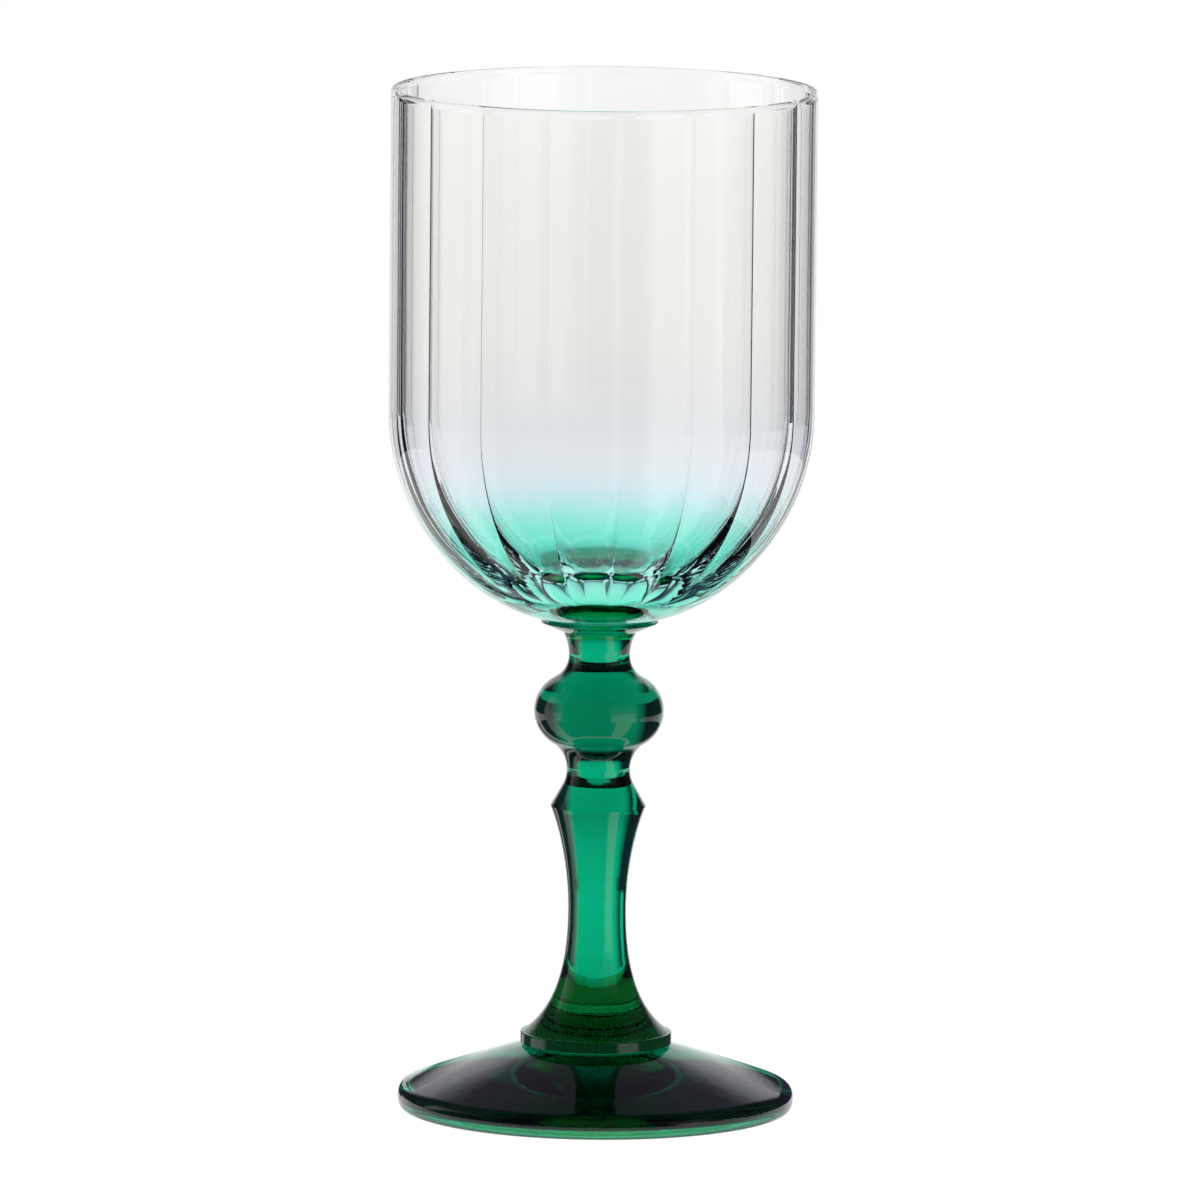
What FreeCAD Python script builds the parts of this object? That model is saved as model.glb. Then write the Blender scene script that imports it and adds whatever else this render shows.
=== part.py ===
"""Wine glass: an optic-fluted blown bowl on a pressed, coloured stem and foot.

Lengths are in millimetres. Z is the glass's axis, pointing up, and the foot rests on z = 0 with
the axis at x = y = 0. The front of the glass faces -Y. Every piece is glass fused hot to its
neighbour, so each joint is a flat face where the two pieces meet with no gap and no overlap.
"""
import os
from math import cos, pi, radians, sin, sqrt

import FreeCAD
import Part

# ---- bowl ----
TOTAL_HEIGHT = 198.0
RIM_R = 41.0             # outside radius of the straight part of the bowl
SHOULDER_Z = 135.2       # the straight wall ends here and the round bottom begins
BOWL_FOOT_Z = 95.0       # flat under the bowl, where it is fused to the merese
BOWL_FOOT_R = 8.0
RIM_WALL = 1.3           # wall at the fire-polished lip, measured on a rib
RIB_COUNT = 18           # optic ribs inside the wall, one every 20 degrees
FIRST_RIB_DEG = 15.0
FLOOR_Z = 102.6          # the inside's flat floor, over a thick bottom
FLUTE_DEPTH_WALL = 0.48  # how far a flute is sunk between two ribs, in the straight wall
FLUTE_DEPTH_LOW = 1.0    # the same, where the bottom is roundest

# ---- merese, the thin sharp-edged wafer under the bowl ----
MERESE_R = 11.3
MERESE_LIP = 0.25
MERESE_BASE_Z = 92.9
MERESE_BASE_R = 7.15

# ---- stem ----
NECK_R = 5.9             # narrowest place above the knop
NECK_Z = 88.4
NECK_CURVE_R = 9.0       # hollow curve from that place up to the merese
KNOP_Z = 77.5
KNOP_R = 12.5
KNOP_CURVE_R = 7.2       # roundness of the knop's side
LOW_NECK_R = 6.1         # narrowest place below the knop
LOW_NECK_Z = 66.1
LOW_NECK_CURVE_R = 6.2   # hollow curve from that place down to the bevelled ring
LOW_NECK_DEG = 33.0
RING_R = 9.2             # sharp edge of the bevelled ring
RING_Z = 59.0
WAIST_R = 5.6            # narrowest place of the lower stem
WAIST_Z = 39.0
FLARE_R = 14.0           # the flare's end on top of the collar

# ---- collar, the flat ring between stem and foot ----
COLLAR_R = 14.6
COLLAR_TOP_Z = 15.0
COLLAR_BASE_Z = 12.6
COLLAR_EDGE = 0.3        # rounding of its two edges

# ---- foot ----
FOOT_R = 38.25
FOOT_WIDEST_Z = 2.45
FOOT_SHOULDER_R = 2.5    # rounding above the widest place
FOOT_SLOPE_DEG = 20.4    # slope of the cone just inside that rounding
FOOT_NECK_R = 13.3       # groove right under the collar
FOOT_TOP_R = 14.7        # the cone begins here, just below the groove
FOOT_TOP_Z = 12.2
REST_OUTER_R = 37.0      # flat ring that stands on the table
REST_INNER_R = 35.9
HOLLOW_R = 35.6          # shallow hollow under the foot, with a steep wall behind the rest ring
HOLLOW_EDGE_Z = 0.4
HOLLOW_WALL_Z = 1.1
HOLLOW_CEILING_R = 34.5  # the wall has rounded into the ceiling here
HOLLOW_CEILING_Z = 1.85
HOLLOW_HEIGHT = 3.2

os.makedirs("parts", exist_ok=True)


def at(r, z):
    """The point at radius r and height z in the profile plane."""
    return FreeCAD.Vector(r, 0.0, z)


def line(a, b):
    return Part.LineSegment(at(*a), at(*b)).toShape()


def curve(*poles):
    """A Bezier curve through its first and last pole."""
    bezier = Part.BezierCurve()
    bezier.setPoles([at(*p) for p in poles])
    return bezier.toShape()


def arc(centre, radius, start_deg, end_deg):
    """A circular arc in the profile plane; degrees count from outwards towards up."""
    points = []
    for degrees in (start_deg, (start_deg + end_deg) / 2, end_deg):
        a = radians(degrees)
        points.append(at(centre[0] + radius * cos(a), centre[1] + radius * sin(a)))
    return Part.Arc(*points).toShape()


def turned(edges):
    """Close the profile with straight lines, in order, and turn it round the axis."""
    wire = Part.Wire(edges)
    face = Part.Face(wire)
    return face.revolve(FreeCAD.Vector(0, 0, 0), FreeCAD.Vector(0, 0, 1), 360.0)


def bezier_point(poles, t):
    """The point of a cubic Bezier at t, from 0 to 1."""
    weights = ((1 - t) ** 3, 3 * t * (1 - t) ** 2, 3 * t * t * (1 - t), t ** 3)
    r = sum(w * p[0] for w, p in zip(weights, poles))
    z = sum(w * p[1] for w, p in zip(weights, poles))
    return r, z


# ---- the bowl ----
LIP_R = RIM_WALL / 2
LIP_MID_R = RIM_R - LIP_R
LIP_INNER_R = 0.8        # the lip is rounded a little more softly on the inside
RIB_R = RIM_R - RIM_WALL
WALL_END_Z = 137.0       # inside, the straight wall ends here
OUTER_CURVE = ((RIM_R, SHOULDER_Z), (RIM_R, 115.2), (25.4, 96.9), (BOWL_FOOT_R, BOWL_FOOT_Z))
FLOOR_R = 8.0            # the floor is flat inside this radius
FLUTES_FULL_R = 19.0     # the flutes run out between this radius and the floor
INNER_CURVE = ((RIB_R, WALL_END_Z), (RIB_R, 119.2), (26.8, FLOOR_Z + 0.5), (FLOOR_R, FLOOR_Z))


def flute_depth(t, r):
    """Depth of the flutes at t along the inner curve: deepest low down, next to none at the floor."""
    swell = (FLUTE_DEPTH_LOW - FLUTE_DEPTH_WALL) * sin(pi * t ** 2)
    full = min(1.0, 0.1 + (r - FLOOR_R) / (FLUTES_FULL_R - FLOOR_R))
    return (FLUTE_DEPTH_WALL + swell) * full


def fluted_wire(z, rib_r, depth):
    """A ring of arcs that meet in the inward-pointing ribs."""
    step = 2 * pi / RIB_COUNT
    edges = []
    for k in range(RIB_COUNT):
        start = radians(FIRST_RIB_DEG) + k * step
        points = []
        for part, r in ((0.0, rib_r), (0.5, rib_r + depth), (1.0, rib_r)):
            a = start + part * step
            points.append(FreeCAD.Vector(r * cos(a), r * sin(a), z))
        edges.append(Part.Arc(*points).toShape())
    return Part.Wire(edges)


def make_bowl():
    blank = turned([
        line((0, TOTAL_HEIGHT - LIP_INNER_R), (LIP_MID_R - LIP_INNER_R, TOTAL_HEIGHT - LIP_INNER_R)),
        arc((LIP_MID_R, TOTAL_HEIGHT - LIP_INNER_R), LIP_INNER_R, 180, 90),
        arc((LIP_MID_R, TOTAL_HEIGHT - LIP_R), LIP_R, 90, 0),
        line((RIM_R, TOTAL_HEIGHT - LIP_R), (RIM_R, SHOULDER_Z)),
        curve(*OUTER_CURVE),
        line((BOWL_FOOT_R, BOWL_FOOT_Z), (0, BOWL_FOOT_Z)),
        line((0, BOWL_FOOT_Z), (0, TOTAL_HEIGHT - LIP_INNER_R)),
    ])
    sections = []
    # the ribs melt away over the last 3 mm below the lip
    for below_top, share in ((-1.0, 0.2), (1.0, 0.4), (3.5, 1.0), (20.0, 1.0), (40.0, 1.0)):
        sections.append(fluted_wire(TOTAL_HEIGHT - below_top, RIB_R, share * FLUTE_DEPTH_WALL))
    count = 10
    for k in range(count):
        t = k / (count - 1)
        r, z = bezier_point(INNER_CURVE, t)
        sections.append(fluted_wire(z, r, flute_depth(t, r)))
    return blank.cut(Part.makeLoft(sections, True, False))


# ---- the merese ----
def make_merese():
    return turned([
        line((0, BOWL_FOOT_Z), (MERESE_R, BOWL_FOOT_Z)),
        line((MERESE_R, BOWL_FOOT_Z), (MERESE_R, BOWL_FOOT_Z - MERESE_LIP)),
        line((MERESE_R, BOWL_FOOT_Z - MERESE_LIP), (MERESE_BASE_R, MERESE_BASE_Z)),
        line((MERESE_BASE_R, MERESE_BASE_Z), (0, MERESE_BASE_Z)),
        line((0, MERESE_BASE_Z), (0, BOWL_FOOT_Z)),
    ])


# ---- the stem ----
def blend(neck_r, neck_z):
    """The hollow curve that runs from a neck's narrowest place into the knop's side.

    Gives its radius, and its angle where it touches the knop's curve.
    """
    rise = abs(neck_z - KNOP_Z)
    gap = neck_r - (KNOP_R - KNOP_CURVE_R)
    radius = (rise ** 2 + gap ** 2 - KNOP_CURVE_R ** 2) / (2 * (KNOP_CURVE_R - gap))
    reach = gap + radius
    return radius, 180 / pi * FreeCAD.Vector(1, 0, 0).getAngle(FreeCAD.Vector(reach, rise, 0))


def make_stem():
    top_centre = (NECK_R + NECK_CURVE_R, NECK_Z)
    top_rise = MERESE_BASE_Z - NECK_Z
    top_r = top_centre[0] - sqrt(NECK_CURVE_R ** 2 - top_rise ** 2)
    top_mid_deg = 180 - 0.5 * 180 / pi * FreeCAD.Vector(1, 0, 0).getAngle(
        FreeCAD.Vector(top_centre[0] - top_r, top_rise, 0))
    top_mid = (
        top_centre[0] + NECK_CURVE_R * cos(radians(top_mid_deg)),
        top_centre[1] + NECK_CURVE_R * sin(radians(top_mid_deg)),
    )
    upper_r, upper_deg = blend(NECK_R, NECK_Z)
    lower_r, lower_deg = blend(LOW_NECK_R, LOW_NECK_Z)
    low_centre = (LOW_NECK_R + LOW_NECK_CURVE_R, LOW_NECK_Z)
    low_end = (
        low_centre[0] - LOW_NECK_CURVE_R * cos(radians(LOW_NECK_DEG)),
        low_centre[1] - LOW_NECK_CURVE_R * sin(radians(LOW_NECK_DEG)),
    )
    return turned([
        line((0, MERESE_BASE_Z), (top_r, MERESE_BASE_Z)),
        Part.Arc(at(top_r, MERESE_BASE_Z), at(*top_mid), at(NECK_R, NECK_Z)).toShape(),
        arc((NECK_R + upper_r, NECK_Z), upper_r, 180, 180 + upper_deg),
        arc((KNOP_R - KNOP_CURVE_R, KNOP_Z), KNOP_CURVE_R, upper_deg, -lower_deg),
        arc((LOW_NECK_R + lower_r, LOW_NECK_Z), lower_r, 180 - lower_deg, 180),
        arc(low_centre, LOW_NECK_CURVE_R, 180, 180 + LOW_NECK_DEG),
        line(low_end, (RING_R, RING_Z)),
        curve((RING_R, RING_Z), (6.9, 53.2), (WAIST_R, 45.5), (WAIST_R, WAIST_Z)),
        curve((WAIST_R, WAIST_Z), (WAIST_R, 31.6), (6.4, 20.6), (FLARE_R, COLLAR_TOP_Z)),
        line((FLARE_R, COLLAR_TOP_Z), (0, COLLAR_TOP_Z)),
        line((0, COLLAR_TOP_Z), (0, MERESE_BASE_Z)),
    ])


# ---- the collar ----
def make_collar():
    ring = Part.makeCylinder(
        COLLAR_R, COLLAR_TOP_Z - COLLAR_BASE_Z, FreeCAD.Vector(0, 0, COLLAR_BASE_Z))
    rims = [e for e in ring.Edges if len(e.Vertexes) == 1 and abs(e.Length - 2 * pi * COLLAR_R) < 0.1]
    return ring.makeFillet(COLLAR_EDGE, rims)


# ---- the foot ----
def make_foot():
    shoulder_centre = (FOOT_R - FOOT_SHOULDER_R, FOOT_WIDEST_Z)
    a = radians(90 - FOOT_SLOPE_DEG)
    shoulder = (
        shoulder_centre[0] + FOOT_SHOULDER_R * cos(a),
        shoulder_centre[1] + FOOT_SHOULDER_R * sin(a),
    )
    return turned([
        line((0, COLLAR_BASE_Z), (FOOT_NECK_R, COLLAR_BASE_Z)),
        curve((FOOT_NECK_R, COLLAR_BASE_Z), (FOOT_NECK_R, 12.1), (14.0, 12.4), (FOOT_TOP_R, FOOT_TOP_Z)),
        curve((FOOT_TOP_R, FOOT_TOP_Z), (25.9, 8.75), shoulder),
        arc(shoulder_centre, FOOT_SHOULDER_R, 90 - FOOT_SLOPE_DEG, 0),
        curve((FOOT_R, FOOT_WIDEST_Z), (FOOT_R, 0.9), (37.9, 0), (REST_OUTER_R, 0)),
        line((REST_OUTER_R, 0), (REST_INNER_R, 0)),
        curve((REST_INNER_R, 0), (HOLLOW_R + 0.05, 0.05), (HOLLOW_R, HOLLOW_EDGE_Z)),
        line((HOLLOW_R, HOLLOW_EDGE_Z), (HOLLOW_R - 0.2, HOLLOW_WALL_Z)),
        curve((HOLLOW_R - 0.2, HOLLOW_WALL_Z), (HOLLOW_R - 0.3, 1.8), (HOLLOW_CEILING_R, HOLLOW_CEILING_Z)),
        curve((HOLLOW_CEILING_R, HOLLOW_CEILING_Z), (14.0, HOLLOW_HEIGHT), (0, HOLLOW_HEIGHT)),
        line((0, HOLLOW_HEIGHT), (0, COLLAR_BASE_Z)),
    ])


pieces = {
    "bowl": make_bowl(),
    "merese": make_merese(),
    "stem": make_stem(),
    "foot_collar": make_collar(),
    "foot": make_foot(),
}

for name, shape in pieces.items():
    if shape.ShapeType != "Solid":
        shape = shape.Solids[0]
    box = shape.BoundBox
    print("%-12s valid %s closed %s faces %d volume %.0f mm3 z %.2f..%.2f r %.2f" % (
        name, shape.isValid(), shape.isClosed(), len(shape.Faces), shape.Volume,
        box.ZMin, box.ZMax, box.XMax))
    shape.exportStep("parts/%s.step" % name)
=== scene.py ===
"""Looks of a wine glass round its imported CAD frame: a fluted blown bowl on a green pressed stem.

Metres, with Z up along the glass's axis. The front of the glass faces -Y. Profiles are lists of
(radius, height), and every piece is one closed mesh of glass.
"""
from math import acos, atan2, cos, degrees, hypot, pi, radians, sin, sqrt

import bpy
from mathutils import Euler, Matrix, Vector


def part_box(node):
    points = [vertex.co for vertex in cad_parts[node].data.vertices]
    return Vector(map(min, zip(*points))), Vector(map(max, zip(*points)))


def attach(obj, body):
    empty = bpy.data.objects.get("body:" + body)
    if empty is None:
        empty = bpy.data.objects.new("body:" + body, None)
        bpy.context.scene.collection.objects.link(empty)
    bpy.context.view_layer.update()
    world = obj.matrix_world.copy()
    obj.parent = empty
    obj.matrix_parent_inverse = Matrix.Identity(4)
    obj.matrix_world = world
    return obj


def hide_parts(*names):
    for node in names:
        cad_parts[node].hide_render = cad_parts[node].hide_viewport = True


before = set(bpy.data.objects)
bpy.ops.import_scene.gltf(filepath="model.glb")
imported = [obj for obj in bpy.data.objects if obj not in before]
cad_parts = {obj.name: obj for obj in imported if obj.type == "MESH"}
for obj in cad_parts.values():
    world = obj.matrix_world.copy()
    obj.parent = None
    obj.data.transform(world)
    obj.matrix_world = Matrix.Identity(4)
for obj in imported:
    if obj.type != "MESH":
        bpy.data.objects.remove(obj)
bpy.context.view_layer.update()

MM = 0.001
SCENE = bpy.context.scene


# ---------------------------------------------------------------- sizes, from the frame
def top_of(node):
    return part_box(node)[1].z / MM


def base_of(node):
    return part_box(node)[0].z / MM


def radius_of(node):
    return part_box(node)[1].x / MM


TOTAL_HEIGHT = top_of("bowl")
RIM_R = radius_of("bowl")
BOWL_FOOT_Z = base_of("bowl")
MERESE_R = radius_of("merese")
MERESE_BASE_Z = base_of("merese")
COLLAR_R = radius_of("foot_collar")
COLLAR_TOP_Z = top_of("foot_collar")
COLLAR_BASE_Z = base_of("foot_collar")
FOOT_R = radius_of("foot")

# ---- millimetres, the solids' driving dimensions ----
BOWL_FOOT_R = 8.0
SHOULDER_Z = 135.2
RIM_WALL = 1.3
RIB_COUNT = 18
FIRST_RIB_DEG = 15.0
FLOOR_Z = 102.6
FLUTE_DEPTH_WALL = 0.48
FLUTE_DEPTH_LOW = 0.75      # shallower than the solid's 1.0
MERESE_LIP = 0.25
MERESE_BASE_R = 7.15
NECK_R, NECK_Z, NECK_CURVE_R = 5.9, 88.4, 9.0
KNOP_R, KNOP_Z, KNOP_CURVE_R = 12.5, 77.5, 7.2
LOW_NECK_R, LOW_NECK_Z, LOW_NECK_CURVE_R, LOW_NECK_DEG = 6.1, 66.1, 6.2, 33.0
RING_R, RING_Z = 9.2, 59.0
WAIST_R, WAIST_Z = 5.6, 39.0
FLARE_R = 14.0
COLLAR_EDGE = 0.3
FOOT_WIDEST_Z, FOOT_SHOULDER_R, FOOT_SLOPE_DEG = 2.45, 2.5, 20.4
FOOT_NECK_R, FOOT_TOP_R, FOOT_TOP_Z = 13.3, 14.7, 12.2
REST_OUTER_R, REST_INNER_R = 37.0, 35.9
HOLLOW_R, HOLLOW_EDGE_Z, HOLLOW_WALL_Z, HOLLOW_HEIGHT = 35.6, 0.4, 1.1, 3.2

# ---- details of the looks ----
SEAM_GAP = 0.01      # half the hair-thin gap between two fused pieces, so that no face coincides
GLASS_IOR = 1.5
EVEN_TURNS = [k / 192 for k in range(192)]      # places round the axis, in turns from the first rib
FLUTE_PLACES = (0.0, 0.008, 0.018, 0.03, 0.045, 0.09, 0.16, 0.27, 0.385, 0.5)
FLUTE_PLACES += tuple(1.0 - p for p in FLUTE_PLACES[-2:0:-1])
FLUTE_TURNS = [(k + p) / RIB_COUNT for k in range(RIB_COUNT) for p in FLUTE_PLACES]
RIDGE_HEIGHT = 0.06      # fine crest on each rib
RIDGE_SHARE = 0.04       # its half width, as a share of a flute
RIDGE_START_R = 20.0     # the crest starts outside this radius
RIB_MELT = 1.2           # the ribs melt away over this height below the lip
ON_AXIS = 1e-6


# ---------------------------------------------------------------- curves
def straight(a, b, count=1):
    """Points along a straight line."""
    return [(a[0] + (b[0] - a[0]) * k / count, a[1] + (b[1] - a[1]) * k / count)
            for k in range(count + 1)]


def bezier(poles, count):
    """Points along a Bezier curve of two or three degrees."""
    points = []
    for k in range(count + 1):
        t = k / count
        row = list(poles)
        while len(row) > 1:
            row = [((1 - t) * p[0] + t * q[0], (1 - t) * p[1] + t * q[1]) for p, q in zip(row, row[1:])]
        points.append(row[0])
    return points


def arc(centre, radius, start_deg, end_deg, count):
    """Points along a circular arc; degrees count from outwards towards up."""
    points = []
    for k in range(count + 1):
        a = radians(start_deg + (end_deg - start_deg) * k / count)
        points.append((centre[0] + radius * cos(a), centre[1] + radius * sin(a)))
    return points


def same_point(a, b):
    return hypot(a[0] - b[0], a[1] - b[1]) < ON_AXIS


def join(*stretches):
    """Chains stretches into one outline, with each shared end once."""
    points = []
    for stretch in stretches:
        shared = bool(points) and same_point(points[-1], stretch[0])
        points += stretch[1:] if shared else stretch
    return points


# ---------------------------------------------------------------- turned meshes
def sharp_edges(mesh, rows, creases, per_rib, rib_rows):
    """For each edge, whether the shading breaks there: along a crease row, or along a rib."""
    place_of = {v: (j, k) for j, row in enumerate(rows) for k, v in enumerate(row)}
    sharp = []
    for edge in mesh.edges:
        (row_a, column_a), (row_b, column_b) = (place_of[v] for v in edge.vertices)
        on_crease = row_a == row_b and row_a in creases
        on_rib = bool(rib_rows) and column_a == column_b and column_a % per_rib == 0
        on_rib = on_rib and rib_rows[0] <= min(row_a, row_b) and max(row_a, row_b) <= rib_rows[1]
        sharp.append(on_crease or on_rib)
    return sharp


def turned(name, outline, creases, fused, turns=EVEN_TURNS, shape=None, rib_rows=()):
    """A closed mesh turned round the axis from an outline that starts and ends on the axis.

    outline goes with the glass on its right-hand side as it is walked, so that faces look out.
    creases are the rows where the shading breaks. fused says, for a face's middle (r, z), whether
    it is melted to the next piece. shape(row, angle, r, z) can move a point, and gives (r, z).
    rib_rows are the rows between which the ribs' lines are creases too.
    """
    vertices, rows = [], []
    segments = len(turns)
    for j, (r, z) in enumerate(outline):
        if r < ON_AXIS:
            rows.append([len(vertices)])
            vertices.append((0.0, 0.0, z * MM))
            continue
        rows.append(list(range(len(vertices), len(vertices) + segments)))
        for k in range(segments):
            a = radians(FIRST_RIB_DEG) + 2 * pi * turns[k]
            rr, zz = shape(j, a, r, z) if shape else (r, z)
            vertices.append((rr * cos(a) * MM, rr * sin(a) * MM, zz * MM))
    faces, marks = [], []
    for j in range(len(rows) - 1):
        low, high = rows[j], rows[j + 1]
        mid = ((outline[j][0] + outline[j + 1][0]) / 2, (outline[j][1] + outline[j + 1][1]) / 2)
        mark = 1.0 if fused(*mid) else 0.0
        for k in range(segments):
            n = (k + 1) % segments
            if len(low) == 1:
                faces.append((low[0], high[n], high[k]))
            elif len(high) == 1:
                faces.append((low[k], low[n], high[0]))
            else:
                faces.append((low[k], low[n], high[n], high[k]))
            marks.append(mark)
    mesh = bpy.data.meshes.new(name)
    mesh.from_pydata(vertices, [], faces)
    mesh.update()
    mesh.polygons.foreach_set("use_smooth", [True] * len(mesh.polygons))
    attribute = mesh.attributes.new("fused", "FLOAT", "FACE")
    attribute.data.foreach_set("value", marks)
    sharp = sharp_edges(mesh, rows, set(creases), segments // RIB_COUNT, rib_rows)
    mesh.attributes.new("sharp_edge", "BOOLEAN", "EDGE").data.foreach_set("value", sharp)
    piece = bpy.data.objects.new(name, mesh)
    SCENE.collection.objects.link(piece)
    return piece


def crease_rows(outline, limit_deg=25):
    """Rows where the outline turns sharply."""
    rows = []
    for j in range(1, len(outline) - 1):
        (ax, ay), (bx, by), (cx, cy) = outline[j - 1:j + 2]
        u, v = (bx - ax, by - ay), (cx - bx, cy - by)
        size = hypot(*u) * hypot(*v)
        if size == 0:
            continue
        along = max(-1, min(1, (u[0] * v[0] + u[1] * v[1]) / size))
        if degrees(acos(along)) > limit_deg:
            rows.append(j)
    return rows


# ---------------------------------------------------------------- the bowl
LIP_R = RIM_WALL / 2
LIP_MID_R = RIM_R - LIP_R
RIB_R = RIM_R - RIM_WALL
WALL_END_Z = 137.0
OUTER_CURVE = (
    (RIM_R, SHOULDER_Z), (RIM_R, 115.2), (25.4, 96.9), (BOWL_FOOT_R, BOWL_FOOT_Z + SEAM_GAP))
FLOOR_R = 8.0
FLUTES_FULL_R = 19.0
INNER_ROWS = 150
INNER_CURVE = ((RIB_R, WALL_END_Z), (RIB_R, 119.2), (26.8, FLOOR_Z + 0.5), (FLOOR_R, FLOOR_Z))


def flute_depth(t, r):
    """Depth of the flutes at t along the inner curve: deepest low down, none at the floor."""
    swell = (FLUTE_DEPTH_LOW - FLUTE_DEPTH_WALL) * sin(pi * t ** 2)
    full = min(1.0, (r - FLOOR_R) / (FLUTES_FULL_R - FLOOR_R))
    return (FLUTE_DEPTH_WALL + swell) * full


def scallop(rib_r, depth, angle):
    """Radius, at an angle, of the ring of arcs that meet in the ribs."""
    step = 2 * pi / RIB_COUNT
    off = (angle - radians(FIRST_RIB_DEG)) % step - step / 2
    sag = rib_r + depth - rib_r * cos(step / 2)
    half = rib_r * sin(step / 2)
    arc_r = (half ** 2 + sag ** 2) / (2 * sag)
    centre = rib_r + depth - arc_r
    return centre * cos(off) + sqrt(arc_r ** 2 - (centre * sin(off)) ** 2)


def make_bowl():
    inside = bezier(INNER_CURVE, INNER_ROWS)
    outline = []
    depth = []

    def add(points, depths):
        for p, d in zip(points, depths):
            if outline and same_point(outline[-1], p):
                continue
            outline.append(p)
            depth.append(d)

    # outside, from the foot of the bowl up
    base = BOWL_FOOT_Z + SEAM_GAP
    foot = [(0.0, base)] + straight((2.0, base), (BOWL_FOOT_R, base), 4)
    add(foot, [0] * len(foot))
    out = bezier(OUTER_CURVE, 64)[::-1]
    add(out, [0] * len(out))
    wall = straight((RIM_R, SHOULDER_Z), (RIM_R, TOTAL_HEIGHT - LIP_R), 12)
    add(wall, [0] * len(wall))
    lip = arc((LIP_MID_R, TOTAL_HEIGHT - LIP_R), LIP_R, 0, 180, 20)
    add(lip, [0] * len(lip))
    first_rib = len(outline) - 1
    # inside, from the lip down
    lip_base = TOTAL_HEIGHT - LIP_R
    drops = [0.15, 0.3, 0.5, 0.75, 1.0, RIB_MELT]
    down = [(RIB_R, lip_base - d) for d in drops]
    add(down, [FLUTE_DEPTH_WALL * sin(pi / 2 * d / RIB_MELT) ** 2 for d in drops])
    low = straight((RIB_R, lip_base - RIB_MELT), (RIB_R, WALL_END_Z), 12)
    add(low, [FLUTE_DEPTH_WALL] * len(low))
    add(inside, [flute_depth(k / INNER_ROWS, p[0]) for k, p in enumerate(inside)])
    last_rib = len(outline) - 1
    floor = [(6.0, FLOOR_Z - 0.06), (3.0, FLOOR_Z - 0.1), (0.0, FLOOR_Z - 0.1)]
    add(floor, [0.0, 0.0, 0.0])

    def shape(row, angle, r, z):
        if row <= first_rib or depth[row] <= 0:
            return r, z
        # the crest on a rib, which runs out low in the bowl and at the lip
        place = ((angle - radians(FIRST_RIB_DEG)) / (2 * pi) * RIB_COUNT) % 1.0
        near = max(0.0, 1.0 - min(place, 1.0 - place) / RIDGE_SHARE)
        full = min(1.0, depth[row] / FLUTE_DEPTH_WALL) * max(0.0, r - RIDGE_START_R) / RIDGE_START_R
        r -= RIDGE_HEIGHT * near ** 2 * full
        # the uneven blown wall: a few hundredths of a millimetre
        wave = 0.02 * sin(3 * angle + z / 17.0) + 0.015 * sin(5 * angle - z / 11.0 + 1.0)
        return scallop(r, depth[row], angle) + wave * min(1.0, r / RIDGE_START_R), z

    return turned(
        "bowl_glass", outline, crease_rows(outline, 30),
        lambda r, z: z < BOWL_FOOT_Z + 2 * SEAM_GAP and r < BOWL_FOOT_R,
        turns=FLUTE_TURNS, shape=shape, rib_rows=(first_rib, last_rib - 2))


# ---------------------------------------------------------------- merese, stem, collar, foot
def make_merese():
    top, low = BOWL_FOOT_Z - SEAM_GAP, MERESE_BASE_Z + SEAM_GAP
    edge = MERESE_LIP / 2
    outline = join(
        [(0.0, low)] + straight((2.0, low), (MERESE_BASE_R, low), 4),
        straight((MERESE_BASE_R, low), (MERESE_R - edge, top - 2.2 * edge), 10),
        arc((MERESE_R - edge, top - edge), edge, -60, 90, 10),
        straight((MERESE_R - edge, top), (BOWL_FOOT_R, top), 6),
        straight((BOWL_FOOT_R, top), (2.0, top), 4) + [(0.0, top)],
    )
    return turned(
        "merese_wafer", outline, crease_rows(outline),
        lambda r, z: (z > top - 1e-6 and r < BOWL_FOOT_R) or z < low + 1e-6)


def blend(neck_r, neck_z):
    """Radius and end angle of the hollow curve from a neck into the knop's side."""
    rise = abs(neck_z - KNOP_Z)
    gap = neck_r - (KNOP_R - KNOP_CURVE_R)
    radius = (rise ** 2 + gap ** 2 - KNOP_CURVE_R ** 2) / (2 * (KNOP_CURVE_R - gap))
    return radius, degrees(atan2(rise, gap + radius))


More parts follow.
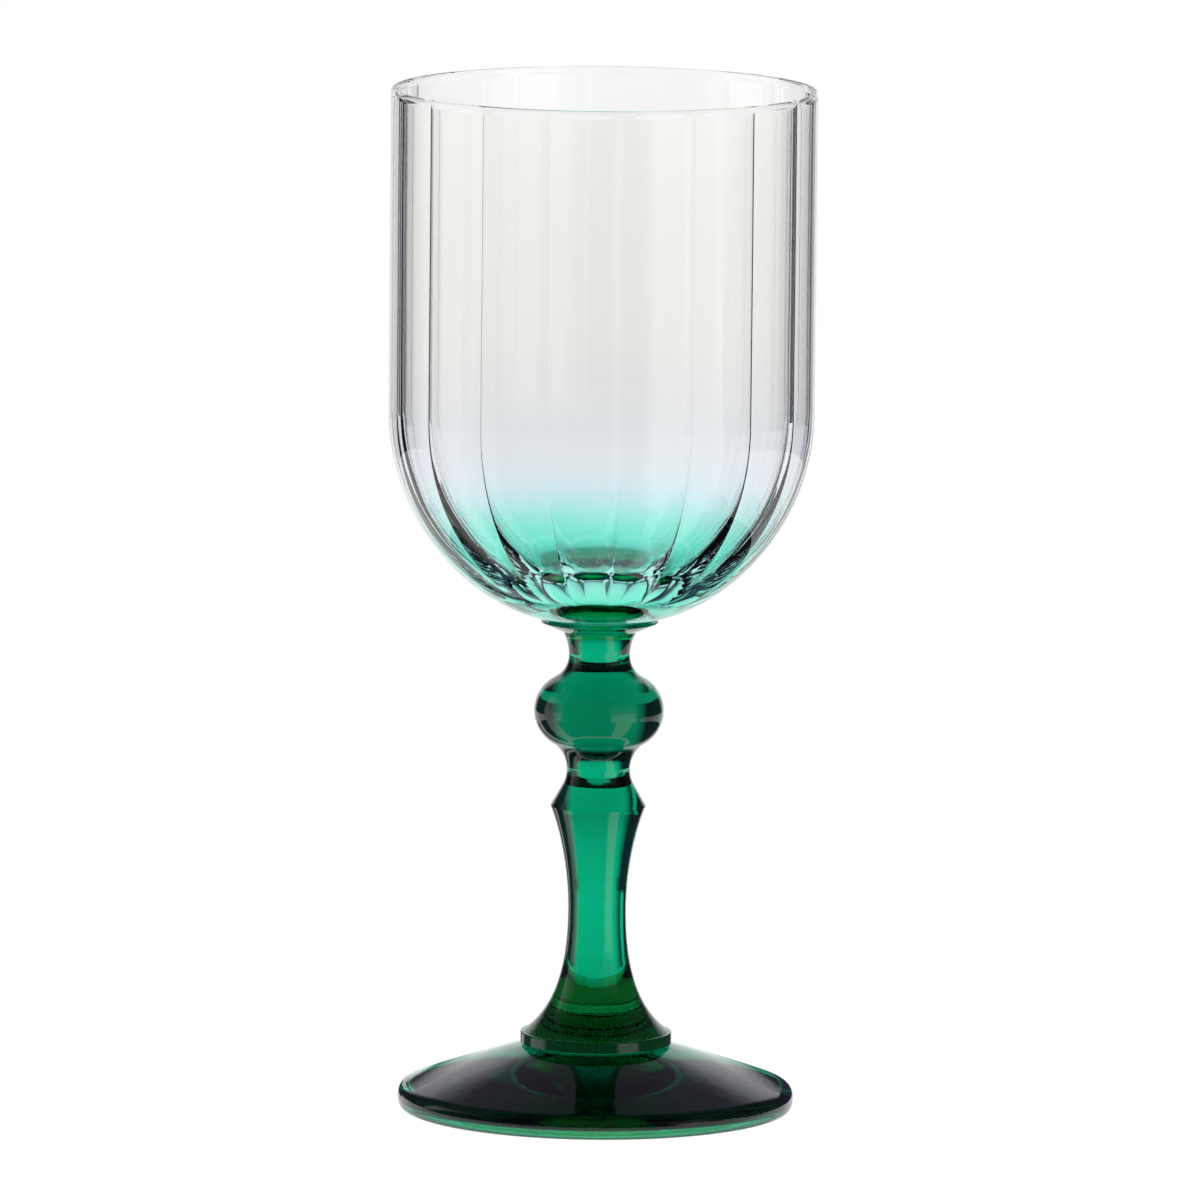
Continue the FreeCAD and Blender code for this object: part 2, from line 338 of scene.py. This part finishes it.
def make_stem():
    top, low = MERESE_BASE_Z - SEAM_GAP, COLLAR_TOP_Z + SEAM_GAP
    rise = degrees(atan2(top - NECK_Z, sqrt(NECK_CURVE_R ** 2 - (top - NECK_Z) ** 2)))
    upper_r, upper_deg = blend(NECK_R, NECK_Z)
    lower_r, lower_deg = blend(LOW_NECK_R, LOW_NECK_Z)
    low_centre = (LOW_NECK_R + LOW_NECK_CURVE_R, LOW_NECK_Z)
    ring_start = arc(low_centre, LOW_NECK_CURVE_R, 180 + LOW_NECK_DEG, 180, 14)
    outline = join(
        [(0.0, low)] + straight((2.0, low), (FLARE_R, low), 5),
        bezier(((FLARE_R, low), (6.4, 20.6), (WAIST_R, 31.6), (WAIST_R, WAIST_Z)), 64),
        bezier(((WAIST_R, WAIST_Z), (WAIST_R, 45.5), (6.9, 53.2), (RING_R, RING_Z)), 40),
        straight((RING_R, RING_Z), ring_start[0], 8),
        ring_start,
        arc((LOW_NECK_R + lower_r, LOW_NECK_Z), lower_r, 180, 180 - lower_deg, 20),
        arc((KNOP_R - KNOP_CURVE_R, KNOP_Z), KNOP_CURVE_R, -lower_deg, upper_deg, 60),
        arc((NECK_R + upper_r, NECK_Z), upper_r, 180 + upper_deg, 180, 20),
        arc((NECK_R + NECK_CURVE_R, NECK_Z), NECK_CURVE_R, 180, 180 - rise, 14),
    )
    outline += [(r, top) for r in (4.5, 2.0, 0.0)]
    return turned(
        "stem_glass", outline, crease_rows(outline),
        lambda r, z: z > top - 1e-6 or z < low + 1e-6)


def make_collar():
    top, low = COLLAR_TOP_Z - SEAM_GAP, COLLAR_BASE_Z + SEAM_GAP
    edge = COLLAR_EDGE
    outline = join(
        [(0.0, low)] + straight((2.0, low), (FOOT_NECK_R, low), 5),
        straight((FOOT_NECK_R, low), (COLLAR_R - edge, low), 3),
        arc((COLLAR_R - edge, low + edge), edge, -90, 0, 10),
        straight((COLLAR_R, low + edge), (COLLAR_R, top - edge), 6),
        arc((COLLAR_R - edge, top - edge), edge, 0, 90, 10),
        straight((COLLAR_R - edge, top), (FLARE_R, top), 2),
        straight((FLARE_R, top), (2.0, top), 5) + [(0.0, top)],
    )
    return turned(
        "foot_collar_ring", outline, crease_rows(outline, 40),
        lambda r, z: (z > top - 1e-6 and r < FLARE_R) or (z < low + 1e-6 and r < FOOT_NECK_R))


def make_foot():
    top = COLLAR_BASE_Z - SEAM_GAP
    centre = (FOOT_R - FOOT_SHOULDER_R, FOOT_WIDEST_Z)
    a = radians(90 - FOOT_SLOPE_DEG)
    shoulder = (centre[0] + FOOT_SHOULDER_R * cos(a), centre[1] + FOOT_SHOULDER_R * sin(a))
    ceiling = (HOLLOW_R - 1.1, HOLLOW_WALL_Z + 0.75)
    wall_top = (HOLLOW_R - 0.2, HOLLOW_WALL_Z)
    outline = join(
        bezier(((0.0, HOLLOW_HEIGHT), (14.0, HOLLOW_HEIGHT), ceiling), 50),
        bezier((ceiling, (HOLLOW_R - 0.3, HOLLOW_WALL_Z + 0.7), wall_top), 8),
        straight(wall_top, (HOLLOW_R, HOLLOW_EDGE_Z), 4),
        bezier(((HOLLOW_R, HOLLOW_EDGE_Z), (HOLLOW_R + 0.05, 0.05), (REST_INNER_R, 0.0)), 8),
        straight((REST_INNER_R, 0.0), (REST_OUTER_R, 0.0), 3),
        bezier(((REST_OUTER_R, 0.0), (37.9, 0.0), (FOOT_R, 0.9), (FOOT_R, FOOT_WIDEST_Z)), 20),
        arc(centre, FOOT_SHOULDER_R, 0, 90 - FOOT_SLOPE_DEG, 20),
        bezier((shoulder, (25.9, 8.75), (FOOT_TOP_R, FOOT_TOP_Z)), 40),
        bezier(((FOOT_TOP_R, FOOT_TOP_Z), (14.0, 12.4), (FOOT_NECK_R, 12.1), (FOOT_NECK_R, top)), 12),
        straight((FOOT_NECK_R, top), (2.0, top), 5) + [(0.0, top)],
    )
    return turned(
        "foot_glass", outline, crease_rows(outline, 30),
        lambda r, z: z > top - 1e-6)


bowl = make_bowl()
merese = make_merese()
stem = make_stem()
collar = make_collar()
foot = make_foot()

PIECES = ((bowl, "bowl"), (merese, "merese"), (stem, "stem"), (collar, "foot_collar"), (foot, "foot"))
for piece, node in PIECES:
    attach(piece, "root")
    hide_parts(node)


# ---------------------------------------------------------------- materials
# a colour mix node's sockets, which share their names with its other kinds
MIX_FACTOR, MIX_FIRST, MIX_SECOND, MIX_RESULT = 0, 6, 7, 2


def new_material(name):
    material = bpy.data.materials.new(name)
    material.use_nodes = True
    nodes, links = material.node_tree.nodes, material.node_tree.links
    nodes.clear()
    output = nodes.new("ShaderNodeOutputMaterial")
    shader = nodes.new("ShaderNodeBsdfPrincipled")
    links.new(shader.outputs[0], output.inputs["Surface"])
    return material, nodes, links, shader, output


def fill_ramp(node, stops):
    """Gives a colour ramp its (place, colour) stops."""
    elements = node.color_ramp.elements
    elements[0].position, elements[0].color = stops[0][0], (*stops[0][1], 1.0)
    elements[1].position, elements[1].color = stops[-1][0], (*stops[-1][1], 1.0)
    for position, colour in stops[1:-1]:
        element = elements.new(position)
        element.color = (*colour, 1.0)


def fused_ior(nodes, links, shader):
    """Glass's index, but 1 on faces melted to the next piece, where light goes straight through."""
    mark = nodes.new("ShaderNodeAttribute")
    mark.attribute_name = "fused"
    index = nodes.new("ShaderNodeMapRange")
    index.inputs["To Min"].default_value = GLASS_IOR
    index.inputs["To Max"].default_value = 1.0
    links.new(mark.outputs["Fac"], index.inputs["Value"])
    shader.inputs["IOR"].default_value = GLASS_IOR
    links.new(index.outputs["Result"], shader.inputs["IOR"])


def green_glass():
    material, nodes, links, shader, output = new_material("green_glass")
    shader.inputs["Roughness"].default_value = 0.0
    shader.inputs["Transmission Weight"].default_value = 1.0
    fused_ior(nodes, links, shader)
    # faint cords in the melt: a little lighter and darker green, stretched round the piece by the press
    place = nodes.new("ShaderNodeTexCoord")
    stretch = nodes.new("ShaderNodeMapping")
    stretch.inputs["Scale"].default_value = (1.0, 1.0, 2.6)
    links.new(place.outputs["Object"], stretch.inputs["Vector"])
    cords = nodes.new("ShaderNodeTexNoise")
    cords.inputs["Scale"].default_value = 150.0
    cords.inputs["Detail"].default_value = 4.0
    links.new(stretch.outputs["Vector"], cords.inputs["Vector"])
    tint = nodes.new("ShaderNodeValToRGB")
    fill_ramp(tint, ((0.30, (0.20, 0.80, 0.40)), (0.70, (0.32, 0.90, 0.50))))
    links.new(cords.outputs["Fac"], tint.inputs["Fac"])
    links.new(tint.outputs["Color"], shader.inputs["Base Color"])
    # the skin the mould leaves: shallow waves a few millimetres long
    skin = nodes.new("ShaderNodeBump")
    skin.inputs["Strength"].default_value = 1.0
    skin.inputs["Distance"].default_value = 0.00005
    links.new(cords.outputs["Fac"], skin.inputs["Height"])
    links.new(skin.outputs["Normal"], shader.inputs["Normal"])
    inside = nodes.new("ShaderNodeVolumeAbsorption")
    inside.inputs["Color"].default_value = (0.0, 0.895, 0.885, 1.0)
    inside.inputs["Density"].default_value = 580.0
    links.new(inside.outputs[0], output.inputs["Volume"])
    return material


def bowl_material():
    material, nodes, links, shader, output = new_material("bowl_glass")
    shader.inputs["Roughness"].default_value = 0.0
    shader.inputs["Transmission Weight"].default_value = 1.0
    fused_ior(nodes, links, shader)
    place = nodes.new("ShaderNodeTexCoord")
    axes = nodes.new("ShaderNodeSeparateXYZ")
    links.new(place.outputs["Object"], axes.inputs[0])
    height = nodes.new("ShaderNodeMapRange")
    height.inputs["From Min"].default_value = BOWL_FOOT_Z * MM
    height.inputs["From Max"].default_value = TOTAL_HEIGHT * MM
    # the sprayed coat's edge is a little cloudy
    cloud = nodes.new("ShaderNodeTexNoise")
    cloud.inputs["Scale"].default_value = 90.0
    cloud.inputs["Detail"].default_value = 3.0
    links.new(place.outputs["Object"], cloud.inputs["Vector"])
    drift = nodes.new("ShaderNodeMapRange")
    drift.inputs["To Min"].default_value = -1.6 * MM
    drift.inputs["To Max"].default_value = 1.6 * MM
    links.new(cloud.outputs["Fac"], drift.inputs["Value"])
    level = nodes.new("ShaderNodeMath")
    links.new(axes.outputs["Z"], level.inputs[0])
    links.new(drift.outputs["Result"], level.inputs[1])
    links.new(level.outputs["Value"], height.inputs["Value"])
    ramp = nodes.new("ShaderNodeValToRGB")
    ramp.color_ramp.interpolation = "LINEAR"
    stops = (
        (0.000, (0.00, 0.14, 0.09)),
        (0.022, (0.03, 0.42, 0.30)),
        (0.042, (0.14, 0.82, 0.60)),
        (0.068, (0.22, 0.95, 0.73)),
        (0.097, (0.32, 0.98, 0.79)),
        (0.126, (0.47, 1.00, 0.88)),
        (0.155, (0.66, 1.00, 0.96)),
        (0.184, (0.82, 1.00, 1.00)),
        (0.214, (0.91, 1.00, 1.00)),
        (0.262, (0.945, 0.97, 1.00)),
        (0.301, (0.93, 0.945, 0.99)),
        (0.350, (0.91, 0.93, 0.945)),
        (0.408, (0.915, 0.925, 0.915)),
        (0.485, (0.945, 0.945, 0.93)),
        (0.728, (0.965, 0.965, 0.94)),
        (0.874, (0.975, 0.975, 0.955)),
        (1.000, (1.00, 1.00, 0.99)),
    )
    fill_ramp(ramp, stops)
    links.new(height.outputs["Result"], ramp.inputs["Fac"])
    # deep green near the axis, over the stem, fading out between 9.2 and 12 mm from the axis
    across = nodes.new("ShaderNodeCombineXYZ")
    links.new(axes.outputs["X"], across.inputs["X"])
    links.new(axes.outputs["Y"], across.inputs["Y"])
    radius = nodes.new("ShaderNodeVectorMath")
    radius.operation = "LENGTH"
    links.new(across.outputs[0], radius.inputs[0])
    near_axis = nodes.new("ShaderNodeMapRange")
    near_axis.interpolation_type = "SMOOTHSTEP"
    near_axis.inputs["From Min"].default_value = 9.2 * MM
    near_axis.inputs["From Max"].default_value = 12.0 * MM
    near_axis.inputs["To Min"].default_value = 1.0
    near_axis.inputs["To Max"].default_value = 0.0
    links.new(radius.outputs["Value"], near_axis.inputs["Value"])
    axis_green = nodes.new("ShaderNodeMix")
    axis_green.data_type = "RGBA"
    links.new(near_axis.outputs["Result"], axis_green.inputs[MIX_FACTOR])
    links.new(ramp.outputs["Color"], axis_green.inputs[MIX_FIRST])
    axis_green.inputs[MIX_SECOND].default_value = (0.0, 0.22, 0.12, 1.0)
    links.new(axis_green.outputs[MIX_RESULT], shader.inputs["Base Color"])
    return material


green = green_glass()
for piece in (merese, stem, collar, foot):
    piece.data.materials.append(green)
bowl.data.materials.append(bowl_material())


# ---------------------------------------------------------------- stage
def flat_mesh(name, corners):
    mesh = bpy.data.meshes.new(name)
    mesh.from_pydata(corners, [], [tuple(range(len(corners)))])
    thing = bpy.data.objects.new(name, mesh)
    SCENE.collection.objects.link(thing)
    return thing


def glow_material(name, colour):
    """A plain glowing material."""
    material = bpy.data.materials.new(name)
    material.use_nodes = True
    nodes, links = material.node_tree.nodes, material.node_tree.links
    nodes.clear()
    output = nodes.new("ShaderNodeOutputMaterial")
    glow = nodes.new("ShaderNodeEmission")
    glow.inputs["Color"].default_value = (*colour, 1.0)
    glow.inputs["Strength"].default_value = 1.0
    links.new(glow.outputs[0], output.inputs["Surface"])
    return material, nodes, links, glow


FLOOR_HALF = 30.0
FLOOR_DROP = 0.0002      # the floor lies a hair under the foot
floor = flat_mesh("stage_floor", [
    (-FLOOR_HALF, -FLOOR_HALF, 0), (FLOOR_HALF, -FLOOR_HALF, 0),
    (FLOOR_HALF, FLOOR_HALF, 0), (-FLOOR_HALF, FLOOR_HALF, 0)])
floor.location.z = -FLOOR_DROP
floor_look = glow_material("stage_floor", (1.0, 1.0, 1.0))[0]
floor.data.materials.append(floor_look)


# dark nets round the glass, out of the camera's sight, that draw the glass's edges
def net_look(name, openings):
    """Dark cloth with soft-edged openings, each a direction, half width and softness in degrees."""
    material, nodes, links, glow = glow_material(name, (0.045, 0.045, 0.07))
    place = nodes.new("ShaderNodeTexCoord")
    axes = nodes.new("ShaderNodeSeparateXYZ")
    turn = nodes.new("ShaderNodeMath")
    turn.operation = "ARCTAN2"
    share = nodes.new("ShaderNodeMapRange")
    share.inputs["From Min"].default_value = -pi
    share.inputs["From Max"].default_value = pi
    cover = nodes.new("ShaderNodeValToRGB")
    stops = [(0.0, 0.0)]
    for middle, half, soft in openings:
        for side, value in ((-half - soft, 1.0), (-half, 0.0), (half, 0.0), (half + soft, 1.0)):
            at = (middle + side + 180) / 360
            if 0.0 < at < 1.0:
                stops.append((at, value))
    stops.append((1.0, 0.0))
    stops.sort()
    fill_ramp(cover, [(at, (v, v, v)) for at, v in stops])
    clear = nodes.new("ShaderNodeBsdfTransparent")
    mix = nodes.new("ShaderNodeMixShader")
    links.new(place.outputs["Object"], axes.inputs[0])
    links.new(axes.outputs["Y"], turn.inputs[0])
    links.new(axes.outputs["X"], turn.inputs[1])
    links.new(turn.outputs[0], share.inputs["Value"])
    links.new(share.outputs["Result"], cover.inputs["Fac"])
    links.new(cover.outputs["Color"], mix.inputs[0])
    links.new(clear.outputs[0], mix.inputs[1])
    links.new(glow.outputs[0], mix.inputs[2])
    links.new(mix.outputs[0], nodes["Material Output"].inputs["Surface"])
    return material


def net(name, low_distance, distance, low, high, look):
    """A ring of cloth round the axis, standing or leaning outwards."""
    count = 120
    corners, faces = [], []
    for k in range(count):
        a = 2 * pi * k / count
        corners.append((low_distance * cos(a), low_distance * sin(a), low))
        corners.append((distance * cos(a), distance * sin(a), high))
    for k in range(count):
        n = (k + 1) % count
        faces.append((2 * k, 2 * n, 2 * n + 1, 2 * k + 1))
    mesh = bpy.data.meshes.new(name)
    mesh.from_pydata(corners, [], faces)
    card = bpy.data.objects.new(name, mesh)
    card.data.materials.append(look)
    card.visible_camera = False
    card.visible_diffuse = False
    SCENE.collection.objects.link(card)
    return card


# directions count from +X towards +Y; the one at 90 is behind the glass
net("stage_net_high", 0.56, 0.56, 0.0, 0.75,
    net_look("stage_net_high", ((-180, 18, 8), (-45, 20, 8), (90, 24, 12), (180, 18, 8))))
net("stage_net_low", 0.048, 0.12, 0.001, 0.042,
    net_look("stage_net_low", ((-180, 12, 6), (-45, 12, 6), (90, 24, 12), (135, 4, 4), (180, 12, 6))))
net("stage_net_front", 0.12, 0.56, 0.042, 0.10,
    net_look("stage_net_front", ((-180, 18, 8), (-45, 20, 8), (90, 100, 6))))

world = bpy.data.worlds.new("studio")
SCENE.world = world
world.use_nodes = True
nodes, links = world.node_tree.nodes, world.node_tree.links
nodes.clear()
sky_out = nodes.new("ShaderNodeOutputWorld")
sky = nodes.new("ShaderNodeBackground")
links.new(sky.outputs[0], sky_out.inputs[0])
way = nodes.new("ShaderNodeTexCoord")
split = nodes.new("ShaderNodeSeparateXYZ")
links.new(way.outputs["Generated"], split.inputs[0])
rise = nodes.new("ShaderNodeValToRGB")
rise.color_ramp.interpolation = "EASE"
fill_ramp(rise, ((0.0, (1.0, 1.0, 1.0)), (0.16, (0.97, 0.97, 0.98)), (0.36, (0.80, 0.80, 0.86)),
                 (0.58, (0.14, 0.13, 0.18)), (1.0, (0.04, 0.04, 0.05))))
links.new(split.outputs["Z"], rise.inputs["Fac"])
depth = nodes.new("ShaderNodeMapRange")
depth.interpolation_type = "SMOOTHSTEP"
depth.inputs["From Min"].default_value = -0.4
depth.inputs["From Max"].default_value = 0.6
depth.inputs["To Min"].default_value = 0.25
depth.inputs["To Max"].default_value = 1.0
links.new(split.outputs["Y"], depth.inputs["Value"])
links.new(rise.outputs["Color"], sky.inputs["Color"])
# the room is pale along the horizon on every side
horizon = nodes.new("ShaderNodeMapRange")
horizon.interpolation_type = "SMOOTHSTEP"
horizon.inputs["From Min"].default_value = 0.03
horizon.inputs["From Max"].default_value = 0.12
horizon.inputs["To Min"].default_value = 1.0
horizon.inputs["To Max"].default_value = 0.25
links.new(split.outputs["Z"], horizon.inputs["Value"])
brighter = nodes.new("ShaderNodeMath")
brighter.operation = "MAXIMUM"
links.new(depth.outputs["Result"], brighter.inputs[0])
links.new(horizon.outputs["Result"], brighter.inputs[1])
links.new(brighter.outputs["Value"], sky.inputs["Strength"])

# ---------------------------------------------------------------- camera
CAMERA_DISTANCE = 3.0
CAMERA_HEIGHT = 0.5213
CAMERA_PITCH_DEG = 8.013
CAMERA_ROLL_DEG = 0.55
LENS_PER_SENSOR = 13.111      # focal length in sensor widths
camera_data = bpy.data.cameras.new("camera")
camera_data.sensor_width = 36.0
camera_data.lens = 36.0 * LENS_PER_SENSOR
camera_data.clip_start, camera_data.clip_end = 0.1, 100.0
camera = bpy.data.objects.new("camera", camera_data)
SCENE.collection.objects.link(camera)
camera.location = (0.0, -CAMERA_DISTANCE, CAMERA_HEIGHT)
camera.rotation_euler = Euler((radians(90 - CAMERA_PITCH_DEG), 0, 0))
camera.rotation_euler.rotate_axis("Z", radians(CAMERA_ROLL_DEG))
SCENE.camera = camera

SCENE.view_settings.view_transform = "Standard"
# light that rattles on between the flutes for longer than this ends dark
GLASS_BOUNCES = 9
SCENE.cycles.max_bounces = GLASS_BOUNCES
SCENE.cycles.transmission_bounces = GLASS_BOUNCES
SCENE.cycles.glossy_bounces = 16
SCENE.cycles.transparent_max_bounces = 16
SCENE.cycles.sample_clamp_indirect = 0.0
